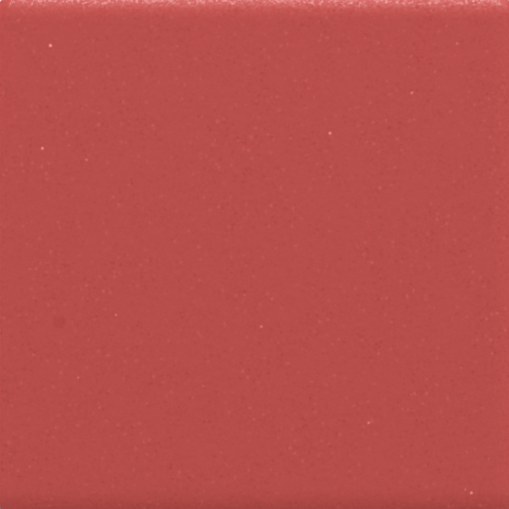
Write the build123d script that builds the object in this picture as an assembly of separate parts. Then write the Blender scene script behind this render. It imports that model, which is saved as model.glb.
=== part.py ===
from build123d import *
import math
import os

# One dust-pressed porcelain mosaic tile: a square with cushion edges and a grooved back, lying on its back.

# Square body. Lengths are in millimetres and angles in degrees.
FACE_SIDE = 49.2  # square outline, where the cushion edge meets the sides
THICKNESS = 6.35  # from the back plane to the flat of the face
CORNER_RADIUS = 0.6  # upright corners, seen from above
SIDE_DRAFT = 1.0  # sides lean in towards the back, so that the tile leaves its die

# Cushion edge round the face.
CUSHION_WIDTH = 2.0  # from the flat of the face out to the outline
CUSHION_DROP = 0.55  # fall over that width
ARRIS_RADIUS = 0.25  # rounding where the cushion edge meets the sides

# Grooved back, which keys into the adhesive.
BACK_EDGE_RADIUS = 0.3  # rounding between the sides and the back plane
BACK_MARGIN = 5.0  # least plain border round the grooves
GROOVE_WIDTH = 3.6  # at the back plane
RIB_WIDTH = 3.4  # land between two grooves, at the back plane
GROOVE_DEPTH = 0.6
GROOVE_END_RADIUS = 1.0  # corners of a groove, seen from behind
GROOVE_DRAFT = 30.0  # lean of the groove's flanks
GROOVE_ROOT_RADIUS = 0.2  # rounding between the flanks and the groove's floor

# Worked out from the sizes above.
FILLET_SHARE = 0.8  # most of a corner's own radius that a rounding along its edge may take
DRAFT_SLOPE = math.tan(math.radians(SIDE_DRAFT))
RIM_HEIGHT = THICKNESS - CUSHION_DROP
BACK_SIDE = FACE_SIDE - 2 * RIM_HEIGHT * DRAFT_SLOPE
BACK_CORNER_RADIUS = CORNER_RADIUS - RIM_HEIGHT * DRAFT_SLOPE
NEAR = 0.001  # two heights closer than this are the same


def drafted_blank():
    """Square block with rounded upright corners, smaller at the back than at the face."""
    flare = CUSHION_DROP * DRAFT_SLOPE
    top_side = FACE_SIDE + 2 * flare
    top = Plane.XY.offset(THICKNESS) * RectangleRounded(top_side, top_side, CORNER_RADIUS + flare)
    return extrude(top, amount=THICKNESS, dir=(0, 0, -1), taper=SIDE_DRAFT)


def cushion_envelope():
    """Larger block with one rounding on its top and upright edges, of which the tile takes the upper part."""
    radius = (CUSHION_WIDTH**2 + CUSHION_DROP**2) / (2 * CUSHION_DROP)
    side = FACE_SIDE + 2 * (radius - CUSHION_WIDTH)
    block = Box(side, side, THICKNESS + radius, align=(Align.CENTER, Align.CENTER, Align.MAX))
    block = Pos(0, 0, THICKNESS) * block
    edges = block.edges().filter_by(Axis.Z) + block.edges().group_by(Axis.Z)[-1]
    return fillet(edges, radius)


def at_rim(edge):
    """True for an edge between the cushion and the sides: it stays under the rim, in the upper half."""
    heights = [(edge @ end).Z for end in (0, 1)]
    return min(heights) > THICKNESS / 2 and max(heights) < RIM_HEIGHT + NEAR


def back_grooves():
    """Stopped grooves with leaning flanks, an even number of them, so that a rib crosses the middle."""
    span = BACK_SIDE - 2 * BACK_MARGIN
    pitch = GROOVE_WIDTH + RIB_WIDTH
    pairs = math.floor((span + RIB_WIDTH) / pitch / 2)
    mouth = RectangleRounded(span, GROOVE_WIDTH, GROOVE_END_RADIUS)
    groove = extrude(mouth, amount=GROOVE_DEPTH, taper=GROOVE_DRAFT)
    groove = fillet(groove.edges().group_by(Axis.Z)[-1], GROOVE_ROOT_RADIUS)
    return [place * groove for place in GridLocations(0, pitch, 1, 2 * pairs)]


def porcelain_tile():
    """Whole tile, one fired piece, with the centre of its back plane at the origin and its face up."""
    tile = drafted_blank() & cushion_envelope()
    tile = fillet(tile.edges().filter_by(at_rim), min(ARRIS_RADIUS, FILLET_SHARE * CORNER_RADIUS))
    back_edges = tile.edges().group_by(Axis.Z)[0]
    tile = fillet(back_edges, min(BACK_EDGE_RADIUS, FILLET_SHARE * BACK_CORNER_RADIUS))
    return tile - back_grooves()


os.makedirs("parts", exist_ok=True)
export_step(porcelain_tile(), "parts/porcelain_tile.step")
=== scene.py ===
import math
import random

import bmesh
import bpy
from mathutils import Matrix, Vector, noise


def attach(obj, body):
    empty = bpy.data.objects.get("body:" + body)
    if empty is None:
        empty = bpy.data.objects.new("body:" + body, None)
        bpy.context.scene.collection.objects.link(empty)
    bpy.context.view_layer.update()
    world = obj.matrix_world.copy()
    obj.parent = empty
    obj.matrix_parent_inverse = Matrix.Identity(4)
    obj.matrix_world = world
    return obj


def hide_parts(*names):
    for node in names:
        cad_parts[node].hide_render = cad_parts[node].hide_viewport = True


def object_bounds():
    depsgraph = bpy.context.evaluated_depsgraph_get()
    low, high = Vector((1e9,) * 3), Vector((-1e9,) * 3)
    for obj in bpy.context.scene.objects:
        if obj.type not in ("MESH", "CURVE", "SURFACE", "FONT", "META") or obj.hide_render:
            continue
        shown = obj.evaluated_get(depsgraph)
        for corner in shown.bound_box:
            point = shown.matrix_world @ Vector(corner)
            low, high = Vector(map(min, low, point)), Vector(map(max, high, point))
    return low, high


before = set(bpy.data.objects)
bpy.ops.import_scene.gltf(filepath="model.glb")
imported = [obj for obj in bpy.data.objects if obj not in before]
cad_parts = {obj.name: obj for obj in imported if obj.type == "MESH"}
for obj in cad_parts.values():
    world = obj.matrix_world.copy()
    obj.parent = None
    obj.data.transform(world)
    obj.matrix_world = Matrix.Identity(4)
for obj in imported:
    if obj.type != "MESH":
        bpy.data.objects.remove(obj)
cad_low, cad_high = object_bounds()

MM = 0.001

# The tile's own sizes, in metres. Its side and thickness are the frame's.
FACE_SIDE = cad_high.x - cad_low.x
THICKNESS = cad_high.z - cad_low.z
FACE_CELLS = 246  # grid cells along one side of the face
CORNER_CELLS = 3  # cells that the rounding of an upright corner takes
CELL = FACE_SIDE / FACE_CELLS
CORNER_RADIUS = CORNER_CELLS * CELL
CUSHION_WIDTH = 2.0 * MM
CUSHION_DROP = 0.55 * MM
CUSHION_RADIUS = (CUSHION_WIDTH**2 + CUSHION_DROP**2) / (2 * CUSHION_DROP)
CUSHION_START = 0.45 * MM  # softness of the line where the cushion edge leaves the flat
ARRIS_OFFSET = 0.15 * MM  # from the sharp edge back to where its rounding starts
ARRIS_SEGMENTS = 4
SIDE_DRAFT = 1.0  # degrees
SIDE_LEAN = math.tan(math.radians(SIDE_DRAFT))
BACK_EDGE_RADIUS = 0.3 * MM
BACK_EDGE_SEGMENTS = 4
BACK_STRIDE = 6  # face cells to one cell of the back's edge
SIDE_TOP = 4.9 * MM  # height of the first level ring of the sides
SIDE_FOOT = 2 * BACK_EDGE_RADIUS  # height of the last one
SIDE_RINGS = 18
GROOVE_COUNT = 6
GROOVE_WIDTH = 3.6 * MM
GROOVE_PITCH = 7.0 * MM
BACK_MARGIN = 5.0 * MM
GROOVE_DEPTH = 0.6 * MM
GROOVE_DRAFT = 30.0  # degrees
GROOVE_FLANK = GROOVE_DEPTH * math.tan(math.radians(GROOVE_DRAFT))
GROOVE_END_RADIUS = 1.0 * MM
GROOVE_END_SEGMENTS = 6
GROOVE_ROOT = 0.12 * MM
GROOVE_ROOT_SEGMENTS = 3
FLAT_BACK = 0.999  # a face that looks down more squarely than this is part of the flat back

# Pressed surface: how far it lies under the ideal form.
SEED = 20
RELIEF_MEAN = 0.022 * MM
WAVE_HEIGHT = 0.008 * MM
WAVE_LENGTH = 7.0 * MM
SWELL_HEIGHT = 0.01 * MM
SWELL_LENGTH = 0.8 * MM
GRAIN_HEIGHT = 0.004 * MM

# Colour of the fired body. A range is the part of a noise pattern that is stretched to the full change.
BODY_DARK = (0.4435, 0.0395, 0.0334)
BODY_LIGHT = (0.4595, 0.0457, 0.0391)
COLOUR_GRAIN = 0.5 * MM
COLOUR_RANGE = (0.25, 0.75)
CLOUD_SIZE = 3.4 * MM
CLOUD_RANGE = (0.3, 0.7)
CLOUD_SHARE = 0.55
# Painted light: the cushion edges are coloured lighter towards the outline, for the extra light those tilted
# edges catch.
EDGE_PAINTED_LIGHT = (0.54, 0.0517, 0.0447)
EDGE_SHARE = 0.39

# Small things in the body: pores, darkened with painted shade, and pale specks that are partly mineral grains
# and partly painted glints, both sparse in some patches.
UNEVEN_GRAIN = 0.3 * MM
UNEVEN_REACH = 0.2 * MM
PATCH_RANGE = (0.35, 0.65)
SPARSE_SHARE = 0.45
# Painted shade: the pores are coloured darker, for the shade in these small hollows, besides the bump that
# sinks them.
PORE_PAINTED_SHADE = (0.348, 0.0149, 0.0109)
PORE_SPACING = 0.72 * MM
PORE_RADIUS = 0.25 * MM
PORE_SHADE_SHARE = 0.49
PORE_DEPTH = 0.012 * MM
# Painted glints: the pale specks are partly pale mineral grains and partly glints of facets catching the
# lamp, painted as colour.
PALE_GRAIN_AND_GLINT_COLOUR = (1.0, 0.28, 0.265)
PALE_SPACING = 0.95 * MM
PALE_RADIUS = 0.25 * MM
PALE_SHARE = 0.152

# Pale specks that stand out on the face, partly pale mineral grains and partly painted glints: x and y in
# millimetres, and how much of each shows.
STRONG_GRAINS_AND_GLINTS = (
    (-19.55, 20.02, 1.0),
    (-20.32, 10.2, 0.62),
    (20.67, -22.72, 0.56),
    (7.16, 11.65, 0.58),
    (10.86, -16.03, 0.44),
    (14.98, 15.5, 0.42),
    (0.6, -6.83, 0.42),
    (-13.3, -5.7, 0.34),
    (-16.1, 9.1, 0.3),
    (-16.9, -11.7, 0.28),
    (19.3, 20.2, 0.28),
    (20.1, -22.4, 0.28),
)
STRONG_RADIUS = 0.21 * MM
STRONG_MIDDLE = 0.05 * MM

# One faint stain on the face: x and y in millimetres.
STAIN_COLOUR = (0.366, 0.0177, 0.0107)
STAIN_PLACE = (-18.62, -6.26)
STAIN_RADIUS = 0.7 * MM
STAIN_MIDDLE = 0.52 * MM
STAIN_SHARE = 0.42

# Sheen, uneven from grain to grain.
SHEEN_LEVEL = 0.525
MATT_ROUGHNESS = 0.5
SILK_ROUGHNESS = 0.27
ROUGH_GRAIN = 0.31 * MM
ROUGH_RANGE = (0.4, 0.6)
GRAIN_LEAN = 0.27

# Plain pale floor.
FLOOR_COLOUR = (0.8, 0.8, 0.8)
FLOOR_ROUGHNESS = 0.9
FLOOR_REACH = 3.0

# Light of the surround: the same all round but for the near side, which is dimmer.
SURROUND_COLOUR = (1.0, 1.0, 1.0)
FAR_STRENGTH = 0.825
NEAR_STRENGTH = 0.48

# One wide, low lamp beyond the far side, which makes the sheen along that edge.
LAMP_PLACE = Vector((0.0769, 0.5085, 0.309))
LAMP_WIDTH = 0.75
LAMP_HEIGHT = 0.08
LAMP_POWER = 2.27

# Camera, with its lens and sensor in millimetres. What the picture cuts off is as much at the top as at
# the left, and as much at the bottom as at the right.
LENS = 200.0
SENSOR = 36.0
CUT_LEFT = 0.18 * MM
CUT_RIGHT = 0.29 * MM


def cushion_reach(across):
    """How far a point has come across the cushion edge, with a soft start."""
    past = abs(across) - FACE_SIDE / 2 + CUSHION_WIDTH
    return (past + math.hypot(past, CUSHION_START)) / 2


def cushion_fall(x, y):
    """How far the cushion edge lies below the flat of the face, above a point of the outline square."""
    reach = math.hypot(cushion_reach(x), cushion_reach(y))
    return CUSHION_RADIUS - math.sqrt(CUSHION_RADIUS**2 - reach**2)


def round_corner(vert):
    """Draws a point of the square grid into the rounding of its upright corner."""
    inner = FACE_SIDE / 2 - CORNER_RADIUS
    u, v = abs(vert.co.x) - inner, abs(vert.co.y) - inner
    if u <= 0 or v <= 0:
        return
    pull = max(u, v) / math.hypot(u, v)
    vert.co.x = math.copysign(inner + u * pull, vert.co.x)
    vert.co.y = math.copysign(inner + v * pull, vert.co.y)


def open_edges(bm):
    """Edges with a face on one side only."""
    return [edge for edge in bm.edges if edge.is_boundary]


def press_face(bm):
    """Face and cushion edge as one grid, and the edges of its outline."""
    bmesh.ops.create_grid(bm, x_segments=FACE_CELLS, y_segments=FACE_CELLS, size=FACE_SIDE / 2)
    for vert in bm.verts:
        round_corner(vert)
        vert.co.z = THICKNESS - cushion_fall(vert.co.x, vert.co.y)
    return open_edges(bm)


def extrude_ring(bm, ring, height):
    """Carries the open outline down to a height, leaning in as the sides do, and gives the new outline."""
    made = bmesh.ops.extrude_edge_only(bm, edges=ring)["geom"]
    verts = [item for item in made if isinstance(item, bmesh.types.BMVert)]
    start = max(vert.co.z for vert in verts)
    lean = 1.0 - (start - height) * SIDE_LEAN / (FACE_SIDE / 2)
    bmesh.ops.scale(bm, vec=(lean, lean, 1.0), verts=verts)
    for vert in verts:
        vert.co.z = height
    return open_edges(bm)


def keeps_column(vert):
    """True where the back's edge keeps a point below this one: in the corners and every few cells."""
    along = min(abs(vert.co.x), abs(vert.co.y))
    if along > FACE_SIDE / 2 - CORNER_RADIUS - CELL / 2:
        return True
    return round(along / CELL) % BACK_STRIDE == 0


def press_sides(bm, rim):
    """Sides in level rings from the rim down to the back plane, with fewer points on the last."""
    ring = rim
    for step in range(SIDE_RINGS):
        ring = extrude_ring(bm, ring, SIDE_TOP - (SIDE_TOP - SIDE_FOOT) * step / (SIDE_RINGS - 1))
    dense = {vert for edge in ring for vert in edge.verts}
    extrude_ring(bm, ring, 0.0)
    loose = []
    for edge in bm.edges:
        upper = [vert for vert in edge.verts if vert in dense]
        lower = [vert for vert in edge.verts if vert.co.z < BACK_EDGE_RADIUS]
        if len(upper) == 1 and len(lower) == 1 and not keeps_column(upper[0]):
            loose.append(edge)
    bmesh.ops.dissolve_edges(bm, edges=loose, use_verts=True, use_face_split=False)
    return open_edges(bm)


def press_groove(bm, middle):
    """One stopped groove of the back, with leaning flanks and a rounded root, made from a unit square."""
    length = FACE_SIDE - 2 * THICKNESS * SIDE_LEAN - 2 * BACK_MARGIN
    verts = bmesh.ops.create_grid(bm, x_segments=1, y_segments=1, size=0.5)["verts"]
    bmesh.ops.scale(bm, vec=(length, GROOVE_WIDTH, 1.0), verts=verts)
    bmesh.ops.translate(bm, vec=(0.0, middle, 0.0), verts=verts)
    floor = verts[0].link_faces[0]
    bmesh.ops.reverse_faces(bm, faces=[floor])
    rounded = bmesh.ops.bevel(
        bm, geom=verts, offset=GROOVE_END_RADIUS, offset_type="OFFSET", segments=GROOVE_END_SEGMENTS,
        profile=0.5, affect="VERTICES", material=-1,
    )
    floor = next(face for vert in rounded["verts"] for face in vert.link_faces)
    bmesh.ops.inset_region(
        bm, faces=[floor], thickness=GROOVE_FLANK, depth=-GROOVE_DEPTH,
        use_even_offset=True, use_boundary=True,
    )
    bmesh.ops.bevel(
        bm, geom=list(floor.edges), offset=GROOVE_ROOT, offset_type="OFFSET", segments=GROOVE_ROOT_SEGMENTS,
        profile=0.5, affect="EDGES", material=-1,
    )


def press_back(bm, ring):
    """Rounds the back's edge and closes the back plane round its grooves."""
    back = bmesh.ops.contextual_create(bm, geom=ring)["faces"][0]
    bmesh.ops.bevel(
        bm, geom=list(back.edges), offset=BACK_EDGE_RADIUS, offset_type="OFFSET", segments=BACK_EDGE_SEGMENTS,
        profile=0.5, affect="EDGES", material=-1,
    )
    back = max(bm.faces, key=lambda face: face.calc_area())
    bmesh.ops.delete(bm, geom=[back], context="FACES_ONLY")
    for index in range(GROOVE_COUNT):
        press_groove(bm, (index - (GROOVE_COUNT - 1) / 2) * GROOVE_PITCH)
    bmesh.ops.triangle_fill(bm, use_beauty=True, edges=open_edges(bm), normal=(0.0, 0.0, -1.0))


def grain_relief(bm):
    """Sinks each point of the face and the sides by the unevenness of the pressed powder."""
    draw = random.Random(SEED)
    bm.normal_update()
    for vert in bm.verts:
        depth = RELIEF_MEAN + GRAIN_HEIGHT * draw.gauss(0.0, 1.0)
        depth += WAVE_HEIGHT * noise.noise(vert.co / WAVE_LENGTH)
        depth += SWELL_HEIGHT * noise.noise(vert.co / SWELL_LENGTH)
        if vert.co.z > SIDE_FOOT:
            vert.co -= vert.normal * max(depth, 0.0)


def add_object(name, bm, material):
    """Object with the finished mesh and its material, at the origin."""
    mesh = bpy.data.meshes.new(name)
    bm.to_mesh(mesh)
    bm.free()
    mesh.materials.append(material)
    made = bpy.data.objects.new(name, mesh)
    bpy.context.scene.collection.objects.link(made)
    return made


def make_tile(material):
    """The whole fired tile, which stands for the CAD node."""
    bm = bmesh.new()
    rim = press_face(bm)
    edge_points = {vert for edge in rim for vert in edge.verts}
    ring = press_sides(bm, rim)
    arris = [edge for edge in bm.edges if edge.verts[0] in edge_points and edge.verts[1] in edge_points]
    press_back(bm, ring)
    bmesh.ops.bevel(
        bm, geom=arris, offset=ARRIS_OFFSET, offset_type="OFFSET", segments=ARRIS_SEGMENTS,
        profile=0.5, affect="EDGES", material=-1,
    )
    bmesh.ops.recalc_face_normals(bm, faces=bm.faces)
    grain_relief(bm)
    for face in bm.faces:
        face.smooth = face.normal.z > -FLAT_BACK
    return add_object("fired_tile", bm, material)


def noise_pattern(tree, place, size, detail, output="Fac"):
    """Soft noise with features of about this size, as one value or as three in its Color output."""
    node = tree.nodes.new("ShaderNodeTexNoise")
    node.inputs["Scale"].default_value = 1.0 / size
    node.inputs["Detail"].default_value = detail
    tree.links.new(place, node.inputs["Vector"])
    return node.outputs[output]


def spread(tree, value, low, high, to_low, to_high, smooth=False):
    """Stretches one range of a pattern to another."""
    node = tree.nodes.new("ShaderNodeMapRange")
    if smooth:
        node.interpolation_type = "SMOOTHSTEP"
    for name, number in (("From Min", low), ("From Max", high), ("To Min", to_low), ("To Max", to_high)):
        node.inputs[name].default_value = number
    tree.links.new(value, node.inputs["Value"])
    return node.outputs["Result"]


def set_inputs(tree, node, values):
    """Gives a node its inputs in order, each a constant or another node's output."""
    for socket, value in zip(node.inputs, values):
        if isinstance(value, (float, tuple)):
            socket.default_value = value
        else:
            tree.links.new(value, socket)


def combine(tree, operation, *values):
    """Arithmetic on patterns and plain numbers."""
    node = tree.nodes.new("ShaderNodeMath")
    node.operation = operation
    set_inputs(tree, node, values)
    return node.outputs["Value"]


def combine_vectors(tree, operation, *values, output="Vector"):
    """Arithmetic on places or directions and plain vectors."""
    node = tree.nodes.new("ShaderNodeVectorMath")
    node.operation = operation
    set_inputs(tree, node, values)
    return node.outputs[output]


def scattered_balls(tree, place, spacing, radius):
    """Small balls at random in the body, cut by the surface: 1 at a ball's middle and 0 outside it."""
    node = tree.nodes.new("ShaderNodeTexVoronoi")
    node.inputs["Scale"].default_value = 1.0 / spacing
    tree.links.new(place, node.inputs["Vector"])
    return spread(tree, node.outputs["Distance"], 0.0, radius / spacing, 1.0, 0.0, smooth=True)


def ball_at(tree, place, centre, radius, middle):
    """One ball with a given centre: 1 in its middle and 0 outside it."""
    distance = combine_vectors(tree, "DISTANCE", place, centre, output="Value")
    return spread(tree, distance, middle, radius, 1.0, 0.0)


def blend(tree, share, first, second):
    """Mixes two colours. The first may be another mix."""
    node = tree.nodes.new("ShaderNodeMix")
    node.data_type = "RGBA"
    first_socket, second_socket = [socket for socket in node.inputs if socket.type == "RGBA"]
    second_socket.default_value = (*second, 1.0)
    if isinstance(first, tuple):
        first_socket.default_value = (*first, 1.0)
    else:
        tree.links.new(first, first_socket)
    tree.links.new(share, node.inputs["Factor"])
    return next(socket for socket in node.outputs if socket.type == "RGBA")


def sink_surface(tree, shape, depth, normal):
    """Bump that sinks a pattern into the surface, over an earlier direction of the surface."""
    node = tree.nodes.new("ShaderNodeBump")
    node.inputs["Strength"].default_value = 1.0
    node.inputs["Distance"].default_value = depth
    tree.links.new(combine(tree, "MULTIPLY", shape, -1.0), node.inputs["Height"])
    tree.links.new(normal, node.inputs["Normal"])
    return node.outputs["Normal"]


def uneven_place(tree, place):
    """Places shifted a little at random, so that what is scattered by them isn't perfectly round."""
    shift = noise_pattern(tree, place, UNEVEN_GRAIN, 0.0, "Color")
    return combine_vectors(tree, "MULTIPLY_ADD", shift, (UNEVEN_REACH,) * 3, place)


def leaning_grains(tree, place, amount):
    """Direction of the surface, in which each fine grain leans its own way by a varying amount."""
    grains = noise_pattern(tree, place, ROUGH_GRAIN, 0.0, "Color")
    lean = combine_vectors(tree, "MULTIPLY_ADD", grains, (GRAIN_LEAN,) * 3, (-GRAIN_LEAN / 2,) * 3)
    scaled = tree.nodes.new("ShaderNodeVectorMath")
    scaled.operation = "SCALE"
    tree.links.new(lean, scaled.inputs["Vector"])
    tree.links.new(amount, scaled.inputs["Scale"])
    normal = tree.nodes.new("ShaderNodeNewGeometry").outputs["Normal"]
    total = combine_vectors(tree, "ADD", normal, scaled.outputs["Vector"])
    return combine_vectors(tree, "NORMALIZE", total)


def edge_nearness(tree, place):
    """0 on the flat of the face, rising across the cushion edge to its full share at the outline."""
    parts = tree.nodes.new("ShaderNodeSeparateXYZ")
    tree.links.new(place, parts.inputs["Vector"])
    aside = [combine(tree, "ABSOLUTE", parts.outputs[axis]) for axis in ("X", "Y")]
    outline = FACE_SIDE / 2
    return spread(tree, combine(tree, "MAXIMUM", *aside), outline - CUSHION_WIDTH, outline, 0.0, EDGE_SHARE)


def clouded_body(tree, place, clouds):
    """Red of the body with its fine grain, which fades in the lighter clouds."""
    grain = noise_pattern(tree, place, COLOUR_GRAIN, 1.0)
    body = blend(tree, spread(tree, grain, *COLOUR_RANGE, 0.0, 1.0), BODY_DARK, BODY_LIGHT)
    return blend(tree, spread(tree, clouds, *CLOUD_RANGE, CLOUD_SHARE, 0.0), body, BODY_LIGHT)


def faint_stain(tree, place):
    """How much of the stain shows."""
    centre = (STAIN_PLACE[0] * MM, STAIN_PLACE[1] * MM, THICKNESS)
    return combine(tree, "MULTIPLY", ball_at(tree, place, centre, STAIN_RADIUS, STAIN_MIDDLE), STAIN_SHARE)


def pale_grains_and_glints(tree, place, uneven, patches):
    """How pale the surface is: many weak grains at random, and the few strong ones in their places. The
    paleness is partly mineral grains and partly painted glints.
    """
    weak = combine(tree, "MULTIPLY", scattered_balls(tree, uneven, PALE_SPACING, PALE_RADIUS), patches)
    paleness = combine(tree, "MULTIPLY", weak, PALE_SHARE)
    for x, y, shown in STRONG_GRAINS_AND_GLINTS:
        centre = (x * MM, y * MM, THICKNESS - RELIEF_MEAN - (1.0 - shown) * STRONG_RADIUS)
        strong = ball_at(tree, place, centre, STRONG_RADIUS, STRONG_MIDDLE)
        paleness = combine(tree, "MAXIMUM", strong, paleness)
    return paleness


def red_porcelain():
    """Unglazed red body: fine grain, faint clouds, pores darkened with painted shade, pale specks that are
    partly mineral grains and partly painted glints, cushion edges lightened with painted light, and a soft
    uneven sheen.
    """
    material = bpy.data.materials.new("red_porcelain")
    material.use_nodes = True
    tree = material.node_tree
    shader = tree.nodes["Principled BSDF"]
    place = tree.nodes.new("ShaderNodeTexCoord").outputs["Object"]
    uneven = uneven_place(tree, place)
    clouds = noise_pattern(tree, place, CLOUD_SIZE, 1.0)
    patches = spread(tree, clouds, *PATCH_RANGE, SPARSE_SHARE, 1.0)
    pores = combine(tree, "MULTIPLY", scattered_balls(tree, uneven, PORE_SPACING, PORE_RADIUS), patches)
    edge = edge_nearness(tree, place)

    body = clouded_body(tree, place, clouds)
    # Painted light: lighter colour across the cushion edges, for the light they catch.
    body = blend(tree, edge, body, EDGE_PAINTED_LIGHT)
    body = blend(tree, faint_stain(tree, uneven), body, STAIN_COLOUR)
    # Painted shade: the pores are darkened in colour.
    body = blend(tree, combine(tree, "MULTIPLY", pores, PORE_SHADE_SHARE), body, PORE_PAINTED_SHADE)
    # Pale specks, partly mineral grains and partly painted glints.
    body = blend(tree, pale_grains_and_glints(tree, place, uneven, patches), body, PALE_GRAIN_AND_GLINT_COLOUR)
    tree.links.new(body, shader.inputs["Base Color"])

    grains = noise_pattern(tree, place, ROUGH_GRAIN, 0.0)
    roughness = spread(tree, grains, *ROUGH_RANGE, MATT_ROUGHNESS, SILK_ROUGHNESS)
    tree.links.new(roughness, shader.inputs["Roughness"])
    shader.inputs["Specular IOR Level"].default_value = SHEEN_LEVEL

    leaning = leaning_grains(tree, place, combine(tree, "ADD", patches, edge))
    tree.links.new(sink_surface(tree, pores, PORE_DEPTH, leaning), shader.inputs["Normal"])
    return material


def pale_floor():
    """Plain pale floor that the tile lies on."""
    material = bpy.data.materials.new("pale_floor")
    material.use_nodes = True
    shader = material.node_tree.nodes["Principled BSDF"]
    shader.inputs["Base Color"].default_value = (*FLOOR_COLOUR, 1.0)
    shader.inputs["Roughness"].default_value = FLOOR_ROUGHNESS
    bm = bmesh.new()
    bmesh.ops.create_grid(bm, x_segments=1, y_segments=1, size=FLOOR_REACH)
    floor = add_object("floor", bm, material)


def pale_surround():
    """World of even pale light, which fades from straight above towards the near side, at Y = -1."""
    world = bpy.data.worlds.new("studio")
    world.use_nodes = True
    tree = world.node_tree
    background = tree.nodes["Background"]
    background.inputs["Color"].default_value = (*SURROUND_COLOUR, 1.0)
    parts = tree.nodes.new("ShaderNodeSeparateXYZ")
    tree.links.new(tree.nodes.new("ShaderNodeTexCoord").outputs["Generated"], parts.inputs["Vector"])
    strength = spread(tree, parts.outputs["Y"], -1.0, 0.0, NEAR_STRENGTH, FAR_STRENGTH)
    tree.links.new(strength, background.inputs["Strength"])
    bpy.context.scene.world = world


def far_lamp():
    """Soft lamp beyond the tile's far side, turned to the tile."""
    lamp = bpy.data.lights.new("far_lamp", "AREA")
    lamp.shape = "RECTANGLE"
    lamp.size = LAMP_WIDTH
    lamp.size_y = LAMP_HEIGHT
    lamp.energy = LAMP_POWER
    holder = bpy.data.objects.new("far_lamp", lamp)
    holder.location = LAMP_PLACE
    holder.rotation_euler = (-LAMP_PLACE).to_track_quat("-Z", "Y").to_euler()
    bpy.context.scene.collection.objects.link(holder)


def overhead_camera():
    """Camera straight above the tile, with the far side at the top of the picture."""
    data = bpy.data.cameras.new("overhead")
    data.lens = LENS
    data.sensor_width = SENSOR
    data.sensor_fit = "HORIZONTAL"
    shown = FACE_SIDE - CUT_LEFT - CUT_RIGHT
    rise = shown * LENS / SENSOR
    aside = (CUT_LEFT - CUT_RIGHT) / 2
    camera = bpy.data.objects.new("overhead", data)
    camera.location = (aside, -aside, THICKNESS - CUSHION_DROP + rise)
    bpy.context.scene.collection.objects.link(camera)
    bpy.context.scene.camera = camera


tile = make_tile(red_porcelain())
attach(tile, "root")
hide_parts("porcelain_tile")
pale_floor()
pale_surround()
far_lamp()
overhead_camera()
bpy.context.scene.view_settings.view_transform = "Standard"
